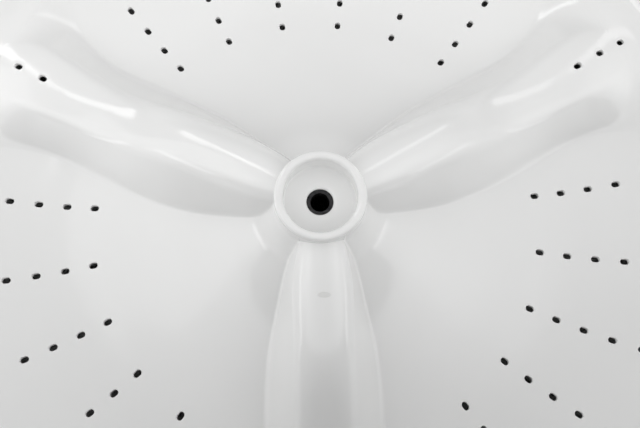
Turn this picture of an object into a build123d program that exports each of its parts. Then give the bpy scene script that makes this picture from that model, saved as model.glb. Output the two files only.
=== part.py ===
from build123d import *
from math import asin, atan2, cos, hypot, sin
import os

os.makedirs("parts", exist_ok=True)

# Washplate for a top-loading washing machine: a shallow dish with three hollow arms, a
# cap collar at the hub and slotted floors, moulded round a splined drive insert.
# Sizes in millimetres. The plate stands on its skirt at Z = 0 with the hub axis on Z.

# Dish
wall = 3.0
datum_height = 22.0             # top of the floor at the first ring of slots
trough_radius = 142.0           # section radius of the ring-shaped trough
trough_centre_r = 173.4
trough_depth = 4.13             # lowest point of the trough below the datum
plate_radius = 258.0
lip_width = 8.0                 # from the edge of the trough to the outside of the skirt
lip_round = 5.0
skirt_land = 4.0

# Hub
collar_radius = 25.4
cup_radius = 20.3
rim_height = 83.0               # above the datum
rim_round = 2.3
cup_depth = 14.3
cup_floor_thickness = 4.0
slope_top = 68.0                # above the datum, where the dish meets the collar
boss_radius = 19.0
boss_length = 46.0

# Drive insert and the window that shows it
window_hole = 15.0
window_lead = 0.8
insert_cover = 2.0
flange_radius = 15.0
flange_thickness = 4.0
insert_radius = 13.0
insert_length = 40.0
bolt_hole = 10.7
insert_roof = 6.0
spline_teeth = 24
spline_bore = 16.4
spline_depth = 1.1
spline_width = 1.2
mouth_lead = 1.0

# Arms
arm_count = 3
arm_start = 30.0                # plan angle of the first arm
arm_step = 6.0                  # arm top below the collar's rim
arm_margin = 11.0               # from the end of the arm to the outside of the skirt

# Drain slots
slot_length = 5.4
slot_width = 3.6
first_ring = 139.0
ring_pitch = 18.0
ring_margin = 15.0
first_arm_ring = 3
row_pitch = 15.0
rows_per_floor = 6

# Underside ribs
rib = 2.4
rib_foot = 7.0
rib_rise_r = 95.0               # inside this radius the ribs' feet climb to the boss
short_rib_r = 82.0

# Heights and radii that follow
rim_z = datum_height + rim_height
cup_z = rim_z - cup_depth
insert_top = cup_z - insert_cover
core_top = cup_z - cup_floor_thickness
boss_foot = insert_top - boss_length
shoulder_r = plate_radius - lip_width
skirt_inner = plate_radius - skirt_land
arm_reach = plate_radius - arm_margin
arm_top = rim_height - arm_step
ring_count = 1 + int((shoulder_r - ring_margin - first_ring) // ring_pitch)
rings = [first_ring + ring_pitch * i for i in range(ring_count)]
floor_start = arm_start + 180 / arm_count
row_turns = [row_pitch * (i - (rows_per_floor - 1) / 2) for i in range(rows_per_floor)]
rib_turns = [(a + b) / 2 for a, b in zip(row_turns, row_turns[1:])]
ring_rib_radii = (rings[0] - ring_pitch / 2, rings[-1] - ring_pitch / 2)
arm_rib_end = rings[first_arm_ring] - ring_pitch / 2


def trough_z(r):
    sag = trough_radius - (trough_radius**2 - (r - trough_centre_r) ** 2) ** 0.5
    return datum_height - trough_depth + sag


# Slope of the dish from the collar down to the first ring, as shares of its run and rise
run = first_ring - collar_radius
rise = slope_top - (trough_z(first_ring) - datum_height)
slope_shape = ((0.045, 0.81), (0.143, 0.614), (0.328, 0.394), (0.511, 0.253), (0.755, 0.106))
with BuildLine() as slope:
    Spline(
        (collar_radius, datum_height + slope_top),
        *[
            (collar_radius + x * run, trough_z(first_ring) + y * rise)
            for x, y in slope_shape
        ],
        (first_ring, trough_z(first_ring)),
        tangents=((0.25, -1), (1, -0.25)),
    )
slope_edge = slope.edges()[0]


def floor_z(r):
    """Height of the top of the dish at a radius."""
    if r >= first_ring:
        return trough_z(r)
    low, high = 0.0, 1.0
    for _ in range(30):
        mid = (low + high) / 2
        low, high = (mid, high) if (slope_edge @ mid).X < r else (low, mid)
    return (slope_edge @ low).Y


def under_point(r, depth):
    """Point at a depth under the top of the dish, measured square to it."""
    step = 0.05
    tilt = atan2(floor_z(r + step) - floor_z(r - step), 2 * step)
    return (r + depth * sin(tilt), floor_z(r) - depth * cos(tilt))


# Arm stations: share of the reach, crest as a share of the arm's top, toe half-width,
# half-width of the flat crown, radius of the crown's corners
stations = (
    (0.057, 1.010, 12.0, 0.5, 10.0),
    (0.130, 0.982, 20.0, 0.5, 15.0),
    (0.203, 0.928, 25.0, 0.5, 17.5),
    (0.283, 0.845, 29.8, 0.8, 17.8),
    (0.364, 0.728, 32.8, 2.0, 17.8),
    (0.445, 0.555, 34.0, 5.5, 16.0),
    (0.526, 0.387, 34.0, 7.5, 15.0),
    (0.607, 0.305, 33.6, 9.0, 14.5),
    (0.696, 0.283, 34.4, 12.0, 13.5),
    (0.777, 0.287, 39.8, 14.5, 14.8),
    (0.850, 0.268, 45.6, 17.5, 19.5),
    (0.923, 0.203, 48.0, 18.0, 30.0),
    (0.955, 0.150, 48.8, 18.0, 32.0),
    (1.000, 0.060, 50.0, 18.0, 36.0),
)


def arm_section(station, inset, drop):
    """Closed arm section: straight drop, leaning wall and rounded crown."""
    share, crest, toe, flat, radius = station
    crest_z = datum_height + crest * arm_top
    toe_z = min(floor_z(hypot(share * arm_reach, toe)), crest_z - 8)
    rise_y, rise_z = toe - flat, toe_z - (crest_z - radius)
    lean = asin(radius / hypot(rise_y, rise_z)) - atan2(rise_z, rise_y)
    corner = radius - inset
    # the wall runs on 1 mm past the toe, so that it bites into the dish
    foot = (toe - inset * sin(lean) + cos(lean), toe_z - inset * cos(lean) - sin(lean))
    right = [
        (flat + corner * sin(a), crest_z - radius + corner * cos(a))
        for a in (lean, lean * 0.7, lean * 0.38)
    ]
    left = [(-y, z) for y, z in right]
    with BuildSketch(
        Plane(origin=(share * arm_reach, 0, 0), x_dir=(0, 1, 0), z_dir=(1, 0, 0))
    ) as section:
        with BuildLine():
            Polyline((-foot[0], drop), (-foot[0], foot[1]), left[0])
            Spline(
                *left,
                (0, crest_z - inset),
                *reversed(right),
                tangents=((cos(lean), sin(lean)), (cos(lean), -sin(lean))),
            )
            Polyline(right[0], foot, (foot[0], drop), (-foot[0], drop))
        make_face()
    return section.sketch


# Outside of one arm, lying along X
with BuildPart() as arm:
    for station in stations:
        add(arm_section(station, 0, 1.0))
    loft()

# Hollow of the arm, open below
with BuildPart() as hollow:
    for station in stations[1:-1]:
        add(arm_section(station, wall, -1.0))
    loft()

# Rib plates, as tall as the hub: the underside keeps what lies inside it
with BuildPart() as ribs:
    with BuildSketch(Plane.XZ):
        for radius in ring_rib_radii:
            with Locations((radius, (rib_foot + rim_z) / 2)):
                Rectangle(rib, rim_z - rib_foot)
    revolve(axis=Axis.Z)
    for turn in rib_turns + [180 / arm_count]:
        along_arm = turn == 180 / arm_count
        start = 0 if along_arm or turn == 0 else short_rib_r
        end = arm_rib_end if along_arm else plate_radius
        with BuildSketch(Plane.XZ):
            Polygon(
                (0, boss_foot + rib),
                (boss_radius, boss_foot + rib),
                (rib_rise_r, rib_foot),
                (plate_radius, rib_foot),
                (plate_radius, rim_z),
                (0, rim_z),
                align=None,
            )
            with Locations(((start + end) / 2, rim_z / 2)):
                Rectangle(end - start, rim_z, mode=Mode.INTERSECT)
        blade = extrude(amount=rib / 2, both=True, mode=Mode.PRIVATE)
        with PolarLocations(0, arm_count, start_angle=floor_start + turn):
            add(blade)

# Space under the dish and inside the arms
with BuildPart() as underside:
    with BuildSketch(Plane.XZ):
        with BuildLine():
            under_slope = Spline(
                *[
                    under_point(collar_radius + share * run, wall)
                    for share in (0.02, 0.05, 0.1, 0.17, 0.28, 0.42, 0.6, 0.8, 1)
                ]
            )
            under_trough = ThreePointArc(
                under_point(first_ring, wall),
                under_point(trough_centre_r, wall),
                under_point(shoulder_r, wall),
            )
            Polyline(
                under_trough @ 1,
                (skirt_inner, (under_trough @ 1).Y),
                (skirt_inner, -1),
                (0, -1),
                (0, boss_foot),
                (boss_radius, boss_foot),
                (boss_radius, core_top),
                ((under_slope @ 0).X, core_top),
                under_slope @ 0,
            )
        make_face()
    revolve(axis=Axis.Z)
    with PolarLocations(0, arm_count, start_angle=arm_start):
        add(hollow.part)
    add(ribs.part, mode=Mode.SUBTRACT)

# Drive insert: six-sided head, round body, bolt hole and splined socket
with BuildPart() as drive_insert:
    with BuildSketch(Plane.XY.offset(insert_top)):
        RegularPolygon(flange_radius, 6)
    extrude(amount=-flange_thickness)
    with BuildSketch(Plane.XY.offset(insert_top)):
        Circle(insert_radius)
    extrude(amount=-insert_length)
    insert_blank = drive_insert.part
    with BuildSketch(Plane.XY.offset(insert_top - insert_length)):
        Circle(spline_bore / 2)
        with PolarLocations(spline_bore / 2, spline_teeth):
            Rectangle(2 * spline_depth, spline_width)
    extrude(amount=insert_length - insert_roof, mode=Mode.SUBTRACT)
    with BuildSketch(Plane.XY.offset(insert_top - insert_length)):
        Circle(spline_bore / 2 + spline_depth)
    extrude(amount=mouth_lead, taper=45, mode=Mode.SUBTRACT)
    with Locations((0, 0, insert_top)):
        Hole(bolt_hole / 2)

# Moulding: a full turned body with its arms, hollowed from below and cut from above
with BuildPart() as washplate:
    with BuildSketch(Plane.XZ) as body:
        with BuildLine():
            add(slope_edge)
            ThreePointArc(
                (first_ring, trough_z(first_ring)),
                (trough_centre_r, trough_z(trough_centre_r)),
                (shoulder_r, trough_z(shoulder_r)),
            )
            Polyline(
                (shoulder_r, trough_z(shoulder_r)),
                (plate_radius, trough_z(shoulder_r)),
                (plate_radius, 0),
                (0, 0),
                (0, rim_z),
                (collar_radius, rim_z),
                (collar_radius, datum_height + slope_top),
            )
        make_face()
        fillet(
            body.vertices().filter_by(lambda v: v.X > shoulder_r + 1 and v.Y > 1),
            lip_round,
        )
    revolve(axis=Axis.Z)
    with PolarLocations(0, arm_count, start_angle=arm_start):
        add(arm.part)
    add(underside.part, mode=Mode.SUBTRACT)

    # cap cup, window over the insert and the insert's seat
    with BuildSketch(Plane.XY.offset(cup_z)):
        Circle(cup_radius)
    extrude(amount=rim_z, mode=Mode.SUBTRACT)
    fillet(
        washplate.edges().filter_by(GeomType.CIRCLE).group_by(Axis.Z)[-1], rim_round
    )
    with BuildSketch(Plane.XY.offset(cup_z)):
        Circle(window_hole / 2)
    extrude(amount=-insert_cover, mode=Mode.SUBTRACT)
    chamfer(
        washplate.edges()
        .filter_by(lambda e: e.geom_type == GeomType.CIRCLE and e.radius == window_hole / 2)
        .sort_by(Axis.Z)[-1],
        window_lead,
    )
    add(insert_blank, mode=Mode.SUBTRACT)
    with BuildSketch(Plane.XY.offset(insert_top - insert_length)):
        Circle(insert_radius)
    extrude(amount=insert_length - boss_length, mode=Mode.SUBTRACT)

    # drain slots, long way along the radius
    with BuildSketch(Plane.XY.offset(rim_z)):
        for radius in rings:
            with PolarLocations(0, arm_count, start_angle=floor_start):
                for turn in row_turns:
                    with PolarLocations(radius, 1, start_angle=turn):
                        SlotOverall(slot_length, slot_width)
        for radius in rings[first_arm_ring:]:
            with PolarLocations(radius, arm_count, start_angle=arm_start):
                SlotOverall(slot_length, slot_width)
    extrude(amount=-rim_z, mode=Mode.SUBTRACT)

washplate.part.label = "washplate"
drive_insert.part.label = "drive_insert"
export_step(washplate.part, "parts/washplate.step")
export_step(drive_insert.part, "parts/drive_insert.step")
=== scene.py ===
from collections import namedtuple
from math import asin, cos, hypot, pi, radians, sin, sqrt

import bmesh
import bpy
import numpy as np
from mathutils import Matrix, Vector


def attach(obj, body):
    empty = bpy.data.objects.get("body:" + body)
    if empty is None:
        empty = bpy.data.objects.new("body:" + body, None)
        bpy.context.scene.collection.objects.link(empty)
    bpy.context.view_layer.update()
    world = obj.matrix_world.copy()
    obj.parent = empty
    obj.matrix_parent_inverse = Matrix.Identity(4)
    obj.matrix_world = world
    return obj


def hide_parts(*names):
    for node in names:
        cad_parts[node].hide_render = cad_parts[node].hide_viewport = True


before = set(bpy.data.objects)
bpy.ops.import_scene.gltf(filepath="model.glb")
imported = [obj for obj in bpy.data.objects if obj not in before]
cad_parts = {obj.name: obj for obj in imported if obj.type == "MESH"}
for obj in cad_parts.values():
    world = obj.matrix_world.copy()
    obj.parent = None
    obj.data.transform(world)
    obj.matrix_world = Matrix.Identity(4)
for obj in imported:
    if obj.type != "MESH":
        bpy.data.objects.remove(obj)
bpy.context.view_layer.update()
MM = 0.001

# Sizes of the washplate, in millimetres, as the part has them
WALL = 3.0
DATUM = 22.0
TROUGH_RADIUS, TROUGH_CENTRE, TROUGH_DEPTH = 142.0, 173.4, 4.13
PLATE_RADIUS, LIP_WIDTH, LIP_ROUND, SKIRT_LAND = 258.0, 8.0, 5.0, 4.0
SHOULDER = PLATE_RADIUS - LIP_WIDTH
COLLAR, CUP, RIM_ROUND, CUP_ROUND = 25.4, 20.3, 2.3, 1.2
RIM_Z = DATUM + 83.0
CUP_Z = RIM_Z - 14.3
SLOPE_TOP = DATUM + 68.0
CORE_R, CORE_TOP = 22.5, CUP_Z - 4.0
INSERT_TOP = CUP_Z - 2.0
INSERT_R, FLANGE_R, FLANGE = 13.0, 15.0, 4.0
BOSS, BOSS_FOOT = 19.0, INSERT_TOP - 46.0
WINDOW, WINDOW_LEAD, WINDOW_SOFT = 7.5, 0.8, 0.1
HUB_BEVEL, SKIRT_BEVEL = 0.4, 0.5

# Arms, their crowns slightly domed and their fillets wider where they run out
ARM_ANGLES = (30.0, 150.0, 270.0)
FLOOR_ANGLES = (90.0, 210.0, 330.0)
ARM_REACH = PLATE_RADIUS - 11.0
ARM_TOP = 77.0
ARM_ROOT, ARM_STEADY, FAR_BELOW = 5.0, 30.0, -100.0
CROWN = 60.0
LEAST_FLAT, LEAST_DROP = 0.3, 8.0
TOE_FILLET, END_FILLET = 3.5, 14.0
END_FROM, END_RUN = 195.0, 40.0

# Drain slots, in rings 18 mm and rows 15 degrees apart on the floors, and along the arms
SLOT_LENGTH, SLOT_WIDTH, SLOT_STEPS = 5.4, 3.6, 8
# offset of a slot's cutter and its height above the skin, from below upwards
SLOT_EDGE = ((0.0, None), (0.0, -0.5), (0.13, -0.2), (0.5, 0.02), (0.6, 2.0))
CUTTER_FOOT = -2.0
FIRST_RING, RING_PITCH, ROW_PITCH = 139.0, 18.0, 15.0
RINGS = [FIRST_RING + RING_PITCH * i for i in range(6)]
FIRST_ARM_RING = 3
ROW_TURNS = [ROW_PITCH * (i - 2.5) for i in range(6)]

# Ribs under the dish, between the rows of slots, their turns in degrees
RIB, RIB_FOOT, RIB_RISE, SHORT_RIB = 2.4, 7.0, 95.0, 82.0
RIB_TURNS = [-30.0, -15.0, 0.0, 15.0, 30.0]
ARM_TURN = 60.0
RIB_STEP, RIB_BITE = 3.0, 0.5
RING_RIBS = (RINGS[0] - RING_PITCH / 2, RINGS[-1] - RING_PITCH / 2)
RING_RIB_POINTS = 361
ARM_RIB_END = RINGS[FIRST_ARM_RING] - RING_PITCH / 2

# Soft boxes: azimuth, elevation, distance, width, height, strength as a share of white
SOFT_BOXES = (
    ("box_left", 172.0, 25.0, 0.68, 0.6, 0.6, 0.7),
    ("box_right", 8.0, 25.0, 0.68, 0.6, 0.6, 0.2),
    ("strip_back_left_high", 130.0, 48.5, 1.6, 0.15, 0.84, 3.8),
    ("strip_back_left_low", 132.0, 23.0, 1.6, 0.22, 0.6, 3.4),
    ("strip_back_right", 48.0, 36.0, 1.6, 0.2, 1.42, 1.8),
    ("strip_low_left", 200.0, 5.0, 1.6, 1.5, 0.2, 1.7),
    ("strip_low_right", 340.0, 5.0, 1.6, 1.5, 0.2, 1.5),
)
BOX_AIM = Vector((0, 0, 0.05))
# Surround: even part, then soft glows with their azimuth, elevation, sharpness and strength
SURROUND = 0.445
GLOWS = (
    (270.0, 24.0, 8.0, 1.66),
    (202.0, 32.0, 12.0, 0.85),
    (345.0, 34.0, 11.0, 1.3),
    (90.0, 12.0, 5.0, -0.22),
    (90.0, 70.0, 6.0, 0.2),
)
# Dark card past the near rim, as low and high corners in metres
DARK_CARD = ((-0.6, -0.29, 0.06), (0.6, -0.27, 0.275))
FLOOR_HALF = 6.0


# Form of the dish
def trough_z(r):
    drop = np.sqrt(TROUGH_RADIUS**2 - (r - TROUGH_CENTRE) ** 2)
    return DATUM - TROUGH_DEPTH + TROUGH_RADIUS - drop


def cubic(x, y, start=None, end=None):
    """Cubic spline through points, natural or clamped to a slope at each end."""
    x, y = np.asarray(x, float), np.asarray(y, float)
    n, h = len(x), np.diff(x)
    m, rhs = np.zeros((n, n)), np.zeros(n)
    slope = np.diff(y) / h
    for i in range(1, n - 1):
        m[i, i - 1 : i + 2] = h[i - 1], 2 * (h[i - 1] + h[i]), h[i]
        rhs[i] = 6 * (slope[i] - slope[i - 1])
    m[0, 0] = m[-1, -1] = 1
    if start is not None:
        m[0, :2], rhs[0] = (2 * h[0], h[0]), 6 * (slope[0] - start)
    if end is not None:
        m[-1, -2:], rhs[-1] = (h[-1], 2 * h[-1]), 6 * (end - slope[-1])
    bend = np.linalg.solve(m, rhs)

    def value(t):
        t = np.asarray(t, float)
        i = np.clip(np.searchsorted(x, t) - 1, 0, n - 2)
        a, b = x[i + 1] - t, t - x[i]
        return (
            (bend[i] * a**3 + bend[i + 1] * b**3) / (6 * h[i])
            + (y[i] / h[i] - bend[i] * h[i] / 6) * a
            + (y[i + 1] / h[i] - bend[i + 1] * h[i] / 6) * b
        )

    return value


# Slope from the collar down to the first ring of slots: share of the run, share of the rise
SLOPE_SHAPE = (
    (0.0, 1.0),
    (0.045, 0.81),
    (0.143, 0.614),
    (0.328, 0.394),
    (0.511, 0.253),
    (0.755, 0.106),
    (1.0, 0.0),
)
SLOPE_START, SLOPE_END = -3.2, -0.25
slope_foot = float(trough_z(FIRST_RING))
run, rise = FIRST_RING - COLLAR, SLOPE_TOP - slope_foot
slope_z = cubic(
    [COLLAR + a * run for a, b in SLOPE_SHAPE],
    [slope_foot + b * rise for a, b in SLOPE_SHAPE],
    start=SLOPE_START,
    end=SLOPE_END,
)


def floor_z(r):
    """Height of the dish without its arms: the slope by the collar, then the trough."""
    r = np.maximum(r, COLLAR)
    slope, trough = slope_z(np.minimum(r, FIRST_RING)), trough_z(np.maximum(r, FIRST_RING))
    return np.where(r < FIRST_RING, slope, trough)


# Arm stations: share of the reach, crest share, toe half-width, flat half-width, corner radius
STATIONS = np.array((
    (0.057, 1.010, 12.0, 0.5, 10.0),
    (0.130, 0.982, 20.0, 0.5, 15.0),
    (0.203, 0.928, 25.0, 0.5, 17.5),
    (0.283, 0.845, 29.8, 0.8, 17.8),
    (0.364, 0.728, 32.8, 2.0, 17.8),
    (0.445, 0.555, 34.0, 5.5, 16.0),
    (0.526, 0.387, 34.0, 7.5, 15.0),
    (0.607, 0.305, 33.6, 9.0, 14.5),
    (0.696, 0.283, 34.4, 12.0, 13.5),
    (0.777, 0.287, 39.8, 14.5, 14.8),
    (0.850, 0.268, 45.6, 15.5, 19.5),
    (0.923, 0.203, 48.0, 11.0, 30.0),
    (0.955, 0.150, 48.8, 8.0, 32.0),
    (1.000, 0.060, 50.0, 6.0, 36.0),
))
u_at = STATIONS[:, 0] * ARM_REACH
crest_at, toe_at, flat_at, corner_at = (cubic(u_at, STATIONS[:, i]) for i in (1, 2, 3, 4))
ArmSection = namedtuple("ArmSection", "crest toe flat corner middle_w middle_z lean")


def arm_section(u):
    """Crest height, toe and flat half-widths, corner radius and its centre, and wall lean."""
    u = np.clip(u, u_at[0], u_at[-1])
    crest = DATUM + crest_at(u) * ARM_TOP
    toe, flat, corner = toe_at(u), np.maximum(flat_at(u), LEAST_FLAT), corner_at(u)
    toe_z = np.minimum(floor_z(np.hypot(u, toe)), crest - LEAST_DROP)
    share = (CROWN - corner) / CROWN
    middle_w, middle_z = flat * share, crest - CROWN + np.sqrt(CROWN**2 - flat**2) * share
    dy, dz = toe - middle_w, toe_z - middle_z
    lean = np.arcsin(np.clip(corner / np.hypot(dy, dz), -1, 1)) - np.arctan2(dz, dy)
    return ArmSection(crest, toe, flat, corner, middle_w, middle_z, lean)


def arm_z(u, w):
    """Height of an arm: a slightly domed crown, a round corner and a leaning wall."""
    arm = arm_section(u)
    steep = arm_section(np.maximum(u, ARM_STEADY)).lean
    turn = arm.middle_w + arm.corner * np.sin(steep)
    w = np.abs(w)
    crown = arm.crest - CROWN + np.sqrt(CROWN**2 - np.minimum(w, arm.flat) ** 2)
    across = np.clip(w - arm.middle_w, 0, turn - arm.middle_w)
    corner = arm.middle_z + np.sqrt(arm.corner**2 - across**2)
    return np.where(w < arm.flat, crown, corner) - np.maximum(w - turn, 0) * np.tan(steep)


def smooth_max(a, b, k):
    """Larger of two heights, with a fillet where they cross."""
    t = np.clip(0.5 + 0.5 * (a - b) / k, 0, 1)
    return b + (a - b) * t + k * t * (1 - t)


def top_z(x, y):
    """Height of the top skin at any place outside the collar."""
    z = floor_z(np.hypot(x, y))
    for angle in ARM_ANGLES:
        c, s = cos(radians(angle)), sin(radians(angle))
        u, w = x * c + y * s, -x * s + y * c
        arm = np.where(u > ARM_ROOT, arm_z(u, w), FAR_BELOW)
        outward = np.clip((u - END_FROM) / END_RUN, 0, 1)
        fillet = TOE_FILLET + (END_FILLET - TOE_FILLET) * outward**2 * (3 - 2 * outward)
        z = smooth_max(arm, z, fillet)
    return z


def top_at(x, y):
    """Height of the top skin at one place."""
    return float(top_z(np.array(x), np.array(y)))


def skin_normals(x, y):
    """Unit normals of the top skin."""
    step = 0.05
    n = np.stack(
        (
            -(top_z(x + step, y) - top_z(x - step, y)) / (2 * step),
            -(top_z(x, y + step) - top_z(x, y - step)) / (2 * step),
            np.ones_like(x),
        ),
        axis=-1,
    )
    return n / np.linalg.norm(n, axis=-1, keepdims=True)


# Warped polar grid: its columns follow the toes, corners and crown of each arm.
# Columns of half an arm across its crown, corner, wall, toe and the floor beside it
HALF_COUNTS = (4, 11, 8, 11, 3)
TOE_INSIDE, TOE_OUTSIDE, BESIDE = 2, 3, 6
FLOOR_CELLS = 46
CROSSING_STEPS = 5
FINE_ROW, ROW, FINE_ROWS_TO = 1.2, 1.9, 34
# Corners that take the normals of the exact form: how near to it and how alike in facing
ON_TOP, LEAST_FACING, SHARP_ANGLE = 0.02, 0.8, 38.0


def columns_at(r):
    """Plan angles of the columns at one radius, in radians."""

    def crossing(width_at):
        """Distance from the arm's middle at which a line along the arm crosses the radius."""
        w = 0.0
        for _ in range(CROSSING_STEPS):
            w = float(width_at(arm_section(np.array(sqrt(max(r * r - w * w, 0.0))))))
        return w

    flat = crossing(lambda arm: arm.flat)
    turn = max(crossing(lambda arm: arm.middle_w + arm.corner * np.sin(arm.lean)), flat + 1.0)
    toe = crossing(lambda arm: arm.toe)
    marks = [0, flat, turn, max(toe - TOE_INSIDE, turn + 0.5), toe + TOE_OUTSIDE, toe + BESIDE]
    half = [0.0]
    for a, b, n in zip(marks, marks[1:], HALF_COUNTS):
        half += [a + (b - a) * (i + 1) / n for i in range(n)]
    squeeze = min(1.0, 0.8 * r / half[-1])
    half = [asin(squeeze * w / r) for w in half]
    gap = 2 * pi / 3 - 2 * half[-1]
    angles = []
    for arm in (radians(a) for a in ARM_ANGLES):
        angles += [arm - a for a in reversed(half)] + [arm + a for a in half[1:]]
        angles += [arm + half[-1] + gap * (i + 1) / FLOOR_CELLS for i in range(FLOOR_CELLS - 1)]
    return np.array(angles)


def ring_radii():
    """Radii of the rows, from the collar to the shoulder, closer by the collar."""
    radii = [COLLAR]
    while radii[-1] < SHOULDER - 0.5:
        radii.append(radii[-1] + (FINE_ROW if radii[-1] < FINE_ROWS_TO else ROW))
    return [COLLAR + (r - COLLAR) * (SHOULDER - COLLAR) / (radii[-1] - COLLAR) for r in radii]


# Mesh parts
def band(mesh, rows):
    """Quads between successive closed rows with the same count."""
    for a, b in zip(rows, rows[1:]):
        n = len(a)
        for i in range(n):
            mesh.faces.new((a[i], b[i], b[(i + 1) % n], a[(i + 1) % n]))


def halving_band(mesh, fine, coarse):
    """Triangles between a closed row and one with every second vertex of it."""
    n = len(coarse)
    for i in range(n):
        a, b, c = fine[2 * i], fine[2 * i + 1], fine[(2 * i + 2) % len(fine)]
        d, e = coarse[i], coarse[(i + 1) % n]
        for face in ((a, d, b), (b, d, e), (b, e, c)):
            mesh.faces.new(face)


def turned_row(mesh, angles, r, z):
    return [mesh.verts.new((r * cos(a), r * sin(a), z)) for a in angles]


def arc(r, z, radius, start, end, steps):
    """Profile points along an arc, its angles in degrees."""
    turns = [radians(start + (end - start) * i / steps) for i in range(steps + 1)]
    return [(r + radius * cos(t), z + radius * sin(t)) for t in turns]


def hub_profile():
    """Up the collar, over the rim, down the cup, through the window and down the boss."""
    chamfer = WINDOW + WINDOW_LEAD
    return [
        (COLLAR, RIM_Z - RIM_ROUND - HUB_BEVEL),
        *arc(COLLAR - RIM_ROUND, RIM_Z - RIM_ROUND, RIM_ROUND, 0, 90, 7),
        *arc(CUP + RIM_ROUND, RIM_Z - RIM_ROUND, RIM_ROUND, 90, 180, 7),
        *arc(CUP - CUP_ROUND, CUP_Z + CUP_ROUND, CUP_ROUND, 0, -90, 6),
        (15.0, CUP_Z),
        (11.0, CUP_Z),
        (chamfer + 2 * WINDOW_SOFT, CUP_Z),
        (chamfer - WINDOW_SOFT, CUP_Z - WINDOW_SOFT),
        (WINDOW + WINDOW_SOFT, CUP_Z - WINDOW_LEAD + WINDOW_SOFT),
        (WINDOW, CUP_Z - WINDOW_LEAD - WINDOW_SOFT),
        (WINDOW, INSERT_TOP),
        (FLANGE_R, INSERT_TOP),
        (FLANGE_R, INSERT_TOP - FLANGE),
        (INSERT_R, INSERT_TOP - FLANGE),
        (INSERT_R, BOSS_FOOT + HUB_BEVEL),
        (INSERT_R + HUB_BEVEL, BOSS_FOOT),
        (BOSS - HUB_BEVEL, BOSS_FOOT),
        (BOSS, BOSS_FOOT + HUB_BEVEL),
        (BOSS, CORE_TOP),
        (CORE_R, CORE_TOP),
    ]


def edge_profile():
    """Over the lip, down the skirt and up inside it."""
    lip_z = float(trough_z(SHOULDER))
    inside = PLATE_RADIUS - SKIRT_LAND
    return [
        (SHOULDER + 1.0, lip_z),
        *arc(PLATE_RADIUS - LIP_ROUND, lip_z - LIP_ROUND, LIP_ROUND, 90, 0, 8),
        (PLATE_RADIUS, 15.0),
        (PLATE_RADIUS, SKIRT_BEVEL),
        (PLATE_RADIUS - SKIRT_BEVEL, 0),
        (inside + SKIRT_BEVEL, 0),
        (inside, SKIRT_BEVEL),
        (inside, lip_z - 6.0),
    ]


def build_skin():
    """Closed shell: top skin, hub, lip and skirt, and the underside one wall below."""
    mesh = bmesh.new()
    radii = ring_radii()
    top, under = [], []
    for i, r in enumerate(radii):
        angles = columns_at(r)
        x, y = r * np.cos(angles), r * np.sin(angles)
        z = top_z(x, y)
        top.append([mesh.verts.new(p) for p in zip(x, y, z)])
        if i > 2 and i % 2 == 1 or i == len(radii) - 1:
            low = (np.stack((x, y, z), axis=-1) - WALL * skin_normals(x, y))[::2]
            under.append([mesh.verts.new(p) for p in low])
    inner, outer = columns_at(radii[0]), columns_at(radii[-1])
    hub_rows = [turned_row(mesh, inner, r, z) for r, z in hub_profile()]
    edge_rows = [turned_row(mesh, outer, r, z) for r, z in edge_profile()]
    band(mesh, top + edge_rows)
    band(mesh, [top[0]] + hub_rows)
    band(mesh, under)
    halving_band(mesh, hub_rows[-1], under[0])
    halving_band(mesh, edge_rows[-1], under[-1])
    bmesh.ops.recalc_face_normals(mesh, faces=mesh.faces)
    return mesh


def rib_wall(mesh, path, foot):
    """Upright plate along a plan path, from its foot up into the skin; closed if it rings."""
    ringed = hypot(path[0][0] - path[-1][0], path[0][1] - path[-1][1]) < 0.01
    points = path[:-1] if ringed else path
    n = len(points)
    rows = []
    for i, (x, y) in enumerate(points):
        ax, ay = points[i - 1] if i or ringed else points[0]
        bx, by = points[(i + 1) % n] if i < n - 1 or ringed else points[-1]
        length = hypot(bx - ax, by - ay)
        nx, ny = -(by - ay) / length * RIB / 2, (bx - ax) / length * RIB / 2
        r = hypot(x, y)
        low = foot(r)
        high = CORE_TOP + 1 if r < COLLAR else top_at(x, y) - WALL / 2
        corners = (
            (x + nx, y + ny, low),
            (x - nx, y - ny, low),
            (x - nx, y - ny, high),
            (x + nx, y + ny, high),
        )
        rows.append([mesh.verts.new(p) for p in corners])
    if ringed:
        rows.append(rows[0])
    band(mesh, rows)
    if not ringed:
        mesh.faces.new(rows[0])
        mesh.faces.new(rows[-1])


def rib_foot(r):
    """Height of a rib's foot, which climbs toward the boss."""
    climb = BOSS_FOOT + RIB - RIB_FOOT
    return RIB_FOOT + climb * min(1.0, max(0.0, (RIB_RISE - r) / (RIB_RISE - BOSS)))


def build_ribs():
    """Blades between the rows of slots and along the arms, and two rings."""
    mesh = bmesh.new()
    for radius in RING_RIBS:
        turns = np.linspace(0, 2 * pi, RING_RIB_POINTS)
        rib_wall(mesh, [(radius * cos(t), radius * sin(t)) for t in turns], rib_foot)
    for middle in FLOOR_ANGLES:
        for turn in RIB_TURNS + [ARM_TURN]:
            along_arm = turn == ARM_TURN
            start = BOSS - RIB_BITE if along_arm or turn == 0 else SHORT_RIB
            end = ARM_RIB_END if along_arm else PLATE_RADIUS - SKIRT_LAND + RIB_BITE
            t = radians(middle + turn)
            steps = int((end - start) / RIB_STEP)
            line = [start + (end - start) * i / steps for i in range(steps + 1)]
            rib_wall(mesh, [(r * cos(t), r * sin(t)) for r in line], rib_foot)
    bmesh.ops.recalc_face_normals(mesh, faces=mesh.faces)
    return mesh


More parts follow.
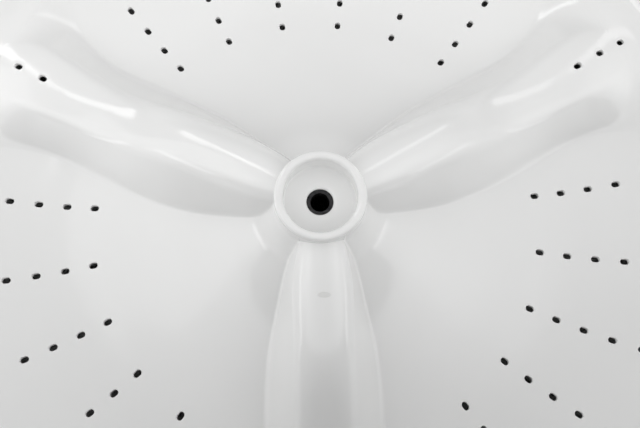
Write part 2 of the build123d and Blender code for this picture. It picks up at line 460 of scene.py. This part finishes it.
def slot_outline(offset):
    """Plan outline of a slot that lies along X, grown by an offset."""
    half, round_r = SLOT_LENGTH / 2 - SLOT_WIDTH / 2, SLOT_WIDTH / 2 + offset
    points = []
    for side, middle in ((half, 0), (-half, 180)):
        for i in range(SLOT_STEPS + 1):
            t = radians(middle - 90 + 180 / SLOT_STEPS * i)
            points.append((side + round_r * cos(t), round_r * sin(t)))
    return points


def build_slot_cutters():
    """Upright cutters with flared tops, which leave each slot a rounded edge."""
    mesh = bmesh.new()
    places = [(r, a + turn) for a in FLOOR_ANGLES for r in RINGS for turn in ROW_TURNS]
    places += [(r, a) for a in ARM_ANGLES for r in RINGS[FIRST_ARM_RING:]]
    for r, degrees in places:
        c, s = cos(radians(degrees)), sin(radians(degrees))
        rows = []
        for offset, above in SLOT_EDGE:
            row = []
            for u, w in slot_outline(offset):
                x, y = (r + u) * c - w * s, (r + u) * s + w * c
                z = CUTTER_FOOT if above is None else top_at(x, y) + above
                row.append(mesh.verts.new((x, y, z)))
            rows.append(row)
        band(mesh, rows)
        mesh.faces.new(rows[0])
        mesh.faces.new(rows[-1])
    bmesh.ops.recalc_face_normals(mesh, faces=mesh.faces)
    return mesh


def as_object(mesh, name):
    data = bpy.data.meshes.new(name)
    mesh.to_mesh(data)
    mesh.free()
    made = bpy.data.objects.new(name, data)
    bpy.context.collection.objects.link(made)
    return made


def slotted_skin():
    """Mesh of the skin with its slots cut."""
    skin = as_object(build_skin(), "skin")
    cutters = as_object(build_slot_cutters(), "cutters")
    cut = skin.modifiers.new("slots", "BOOLEAN")
    cut.object, cut.operation, cut.solver = cutters, "DIFFERENCE", "EXACT"
    depsgraph = bpy.context.evaluated_depsgraph_get()
    mesh = bmesh.new()
    mesh.from_mesh(bpy.data.meshes.new_from_object(skin.evaluated_get(depsgraph)))
    for old in (skin, cutters):
        bpy.data.objects.remove(old)
    return mesh


def set_top_normals(data):
    """Give the faces of the top skin the normals of its exact form."""
    count = len(data.loops)
    corners = np.empty(count * 3)
    data.corner_normals.foreach_get("vector", corners)
    corners = corners.reshape(-1, 3)
    points = np.empty(len(data.vertices) * 3)
    data.vertices.foreach_get("co", points)
    vertex_of = np.empty(count, dtype=np.int32)
    data.loops.foreach_get("vertex_index", vertex_of)
    x, y, z = points.reshape(-1, 3)[vertex_of].T
    radius = np.hypot(x, y)
    where = np.flatnonzero((radius > COLLAR - 0.01) & (radius < SHOULDER + 0.01))
    exact = skin_normals(x[where], y[where])
    facing = (exact * corners[where]).sum(axis=1)
    on_top = np.abs(z[where] - top_z(x[where], y[where])) < ON_TOP
    keep = on_top & (facing > LEAST_FACING)
    corners[where[keep]] = exact[keep]
    data.normals_split_custom_set([tuple(n) for n in corners])


def build_plate():
    """Slotted skin with its ribs, in metres."""
    mesh = slotted_skin()
    ribs, spare = build_ribs(), bpy.data.meshes.new("ribs")
    ribs.to_mesh(spare)
    ribs.free()
    mesh.from_mesh(spare)
    made = as_object(mesh, "washplate_moulding")
    made.data.shade_smooth()
    made.data.set_sharp_from_angle(angle=radians(SHARP_ANGLE))
    set_top_normals(made.data)
    made.data.transform(Matrix.Scale(MM, 4))
    return made


plate = build_plate()
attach(plate, "root")
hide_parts("washplate")


# Materials
# Gate mark on the near arm: its middle and half sizes in metres, and where its edge fades
GATE_PLACE = (0.0003, -0.0526, 0.0)
GATE_HALF = (0.0037, 0.0016)
GATE_FADE = (1.15, 0.75)
GATE_SHADE = (0.77, 0.77, 0.76, 1)
PLASTIC_DULL, PLASTIC_PALE = (0.868, 0.870, 0.864, 1), (0.892, 0.893, 0.888, 1)
METAL_DARK, METAL_PALE = (0.018, 0.018, 0.020, 1), (0.055, 0.054, 0.056, 1)
FLOOR_PALE, CARD_DARK = (0.82, 0.82, 0.82, 1), (0.03, 0.03, 0.03, 1)


def new_material(name):
    made = bpy.data.materials.new(name)
    made.use_nodes = True
    nodes, links = made.node_tree.nodes, made.node_tree.links
    return made, nodes, links, nodes["Principled BSDF"]


def plain_material(name, colour, roughness):
    made, _, _, shader = new_material(name)
    shader.inputs["Base Color"].default_value = colour
    shader.inputs["Roughness"].default_value = roughness
    return made


def noise_at(nodes, links, scale, detail):
    """Noise in the object's own space, its scale in features per metre."""
    place = nodes.new("ShaderNodeTexCoord")
    noise = nodes.new("ShaderNodeTexNoise")
    noise.inputs["Scale"].default_value = scale
    noise.inputs["Detail"].default_value = detail
    links.new(place.outputs["Object"], noise.inputs["Vector"])
    return noise.outputs["Fac"]


def spread(nodes, links, source, low, high):
    """Map noise, which lies mostly between 0.3 and 0.7, onto a range."""
    ranged = nodes.new("ShaderNodeMapRange")
    ranged.inputs["From Min"].default_value = 0.3
    ranged.inputs["From Max"].default_value = 0.7
    ranged.inputs["To Min"].default_value = low
    ranged.inputs["To Max"].default_value = high
    links.new(source, ranged.inputs["Value"])
    return ranged.outputs["Result"]


def mixed(nodes, links, factor, first, second):
    """Mix of a colour or a colour socket with a colour."""
    mix = nodes.new("ShaderNodeMix")
    mix.data_type = "RGBA"
    links.new(factor, mix.inputs["Factor"])
    if isinstance(first, tuple):
        mix.inputs["A"].default_value = first
    else:
        links.new(first, mix.inputs["A"])
    mix.inputs["B"].default_value = second
    return mix.outputs["Result"]


def bumped(nodes, links, height, strength, distance, under=None):
    """Bump of a distance in metres, over another bump if there is one."""
    bump = nodes.new("ShaderNodeBump")
    bump.inputs["Strength"].default_value = strength
    bump.inputs["Distance"].default_value = distance
    links.new(height, bump.inputs["Height"])
    if under is not None:
        links.new(under, bump.inputs["Normal"])
    return bump


def gate_mark(nodes, links):
    """One over the oval mark that the mould's gate leaves on the near arm, else nought."""
    place, shift = nodes.new("ShaderNodeTexCoord"), nodes.new("ShaderNodeVectorMath")
    shift.operation = "SUBTRACT"
    shift.inputs[1].default_value = GATE_PLACE
    squash, size = nodes.new("ShaderNodeVectorMath"), nodes.new("ShaderNodeVectorMath")
    squash.operation, size.operation = "MULTIPLY", "LENGTH"
    squash.inputs[1].default_value = (1 / GATE_HALF[0], 1 / GATE_HALF[1], 0)
    links.new(place.outputs["Object"], shift.inputs[0])
    links.new(shift.outputs["Vector"], squash.inputs[0])
    links.new(squash.outputs["Vector"], size.inputs[0])
    ramp = nodes.new("ShaderNodeMapRange")
    ramp.interpolation_type = "SMOOTHSTEP"
    ramp.inputs["From Min"].default_value = GATE_FADE[0]
    ramp.inputs["From Max"].default_value = GATE_FADE[1]
    links.new(size.outputs["Value"], ramp.inputs["Value"])
    return ramp.outputs["Result"]


def white_plastic():
    """Glossy moulded plastic: faint cloudiness, orange peel and slow waves in the gloss."""
    made, nodes, links, shader = new_material("gloss_white_plastic")
    clouds = spread(nodes, links, noise_at(nodes, links, 9.0, 3.0), 0.0, 1.0)
    mark = gate_mark(nodes, links)
    tint = mixed(nodes, links, clouds, PLASTIC_DULL, PLASTIC_PALE)
    links.new(mixed(nodes, links, mark, tint, GATE_SHADE), shader.inputs["Base Color"])
    gloss = spread(nodes, links, noise_at(nodes, links, 60.0, 2.0), 0.09, 0.15)
    links.new(gloss, shader.inputs["Roughness"])
    shader.inputs["IOR"].default_value = 1.54
    fine, slow = noise_at(nodes, links, 350.0, 1.0), noise_at(nodes, links, 28.0, 1.0)
    peel = bumped(nodes, links, fine, 0.35, 0.00002)
    waves = bumped(nodes, links, slow, 0.5, 0.0002, peel.outputs["Normal"])
    gate = bumped(nodes, links, mark, 1.0, 0.00012, waves.outputs["Normal"])
    gate.invert = True
    links.new(gate.outputs["Normal"], shader.inputs["Normal"])
    return made


def dark_metal():
    """Dark sintered metal: mottled, rough, with a fine grain."""
    made, nodes, links, shader = new_material("dark_sintered_metal")
    mottle = spread(nodes, links, noise_at(nodes, links, 500.0, 4.0), 0.0, 1.0)
    links.new(mixed(nodes, links, mottle, METAL_DARK, METAL_PALE), shader.inputs["Base Color"])
    shader.inputs["Metallic"].default_value = 0.75
    dullness = spread(nodes, links, noise_at(nodes, links, 900.0, 3.0), 0.32, 0.55)
    links.new(dullness, shader.inputs["Roughness"])
    grain = bumped(nodes, links, noise_at(nodes, links, 2500.0, 3.0), 0.5, 0.00005)
    links.new(grain.outputs["Normal"], shader.inputs["Normal"])
    return made


def wear(piece, material):
    piece.data.materials.clear()
    piece.data.materials.append(material)


wear(plate, white_plastic())
metal = dark_metal()
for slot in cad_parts["drive_insert"].material_slots:
    slot.material = metal


# Studio: pale floor, soft boxes, a dark card and a pale surround
def studio_floor():
    mesh = bmesh.new()
    bmesh.ops.create_grid(mesh, x_segments=1, y_segments=1, size=FLOOR_HALF)
    made = as_object(mesh, "studio_floor")
    wear(made, plain_material("studio_floor", FLOOR_PALE, 0.6))
    return made


def dark_card(low, high):
    """Dark block that shades the near side and isn't itself in the picture."""
    mesh = bmesh.new()
    bmesh.ops.create_cube(mesh, size=1.0)
    for v in mesh.verts:
        v.co = [a + (b - a) * (c + 0.5) for a, b, c in zip(low, high, v.co)]
    made = as_object(mesh, "dark_card")
    wear(made, plain_material("dark_card", CARD_DARK, 0.9))
    made.visible_camera = False


def direction(azimuth, elevation):
    """Unit vector, its angles in degrees."""
    a, e = radians(azimuth), radians(elevation)
    return Vector((cos(e) * cos(a), cos(e) * sin(a), sin(e)))


def soft_box(name, azimuth, elevation, distance, width, height, strength):
    """Area lamp that faces the hub, its strength as a radiance."""
    lamp = bpy.data.lights.new(name, "AREA")
    lamp.shape = "RECTANGLE"
    lamp.size, lamp.size_y = width, height
    lamp.energy = strength * pi * width * height
    made = bpy.data.objects.new(name, lamp)
    away = direction(azimuth, elevation)
    made.location = away * distance + BOX_AIM
    made.rotation_euler = away.to_track_quat("Z", "Y").to_euler()
    made.visible_camera = False
    bpy.context.collection.objects.link(made)


def studio_world():
    """Pale surround with soft glows, which the camera itself sees as white."""
    world = bpy.data.worlds.new("studio")
    bpy.context.scene.world = world
    world.use_nodes = True
    nodes, links = world.node_tree.nodes, world.node_tree.links

    def calculate(operation, first, second=None):
        made = nodes.new("ShaderNodeMath")
        made.operation = operation
        for socket, value in zip(made.inputs, (first, second)):
            if hasattr(value, "links"):
                links.new(value, socket)
            elif value is not None:
                socket.default_value = value
        return made.outputs["Value"]

    sky = nodes.new("ShaderNodeTexCoord").outputs["Generated"]
    total = SURROUND
    for azimuth, elevation, sharpness, strength in GLOWS:
        toward = nodes.new("ShaderNodeVectorMath")
        toward.operation = "DOT_PRODUCT"
        toward.inputs[1].default_value = direction(azimuth, elevation)
        links.new(sky, toward.inputs[0])
        away = calculate("SUBTRACT", toward.outputs["Value"], 1.0)
        glow = calculate("EXPONENT", calculate("MULTIPLY", away, sharpness))
        total = calculate("ADD", calculate("MULTIPLY", glow, strength), total)
    path, shown = nodes.new("ShaderNodeLightPath"), nodes.new("ShaderNodeMix")
    links.new(total, shown.inputs["A"])
    shown.inputs["B"].default_value = 1.0
    links.new(path.outputs["Is Camera Ray"], shown.inputs["Factor"])
    links.new(shown.outputs["Result"], nodes["Background"].inputs["Strength"])
    nodes["Background"].inputs["Color"].default_value = (1.0, 1.0, 1.0, 1)


floor = studio_floor()
for box in SOFT_BOXES:
    soft_box(*box)
dark_card(*DARK_CARD)
studio_world()

# Camera, above the near side of the hub and looking a little past it, its turns in degrees
CAMERA_PLACE = (-0.017664, -0.138173, 0.604688)
CAMERA_TURNS = ((14.304, "X"), (-1.8786, "Y"), (-1.6283, "Z"))
lens = bpy.data.cameras.new("view")
lens.sensor_width = 36
lens.lens = 54.22
lens.clip_start = 0.01
camera = bpy.data.objects.new("view", lens)
stand = Matrix.Translation(CAMERA_PLACE)
for degrees, axis in CAMERA_TURNS:
    stand = stand @ Matrix.Rotation(radians(degrees), 4, axis)
camera.matrix_world = stand
bpy.context.collection.objects.link(camera)
bpy.context.scene.camera = camera
bpy.context.scene.view_settings.view_transform = "Standard"
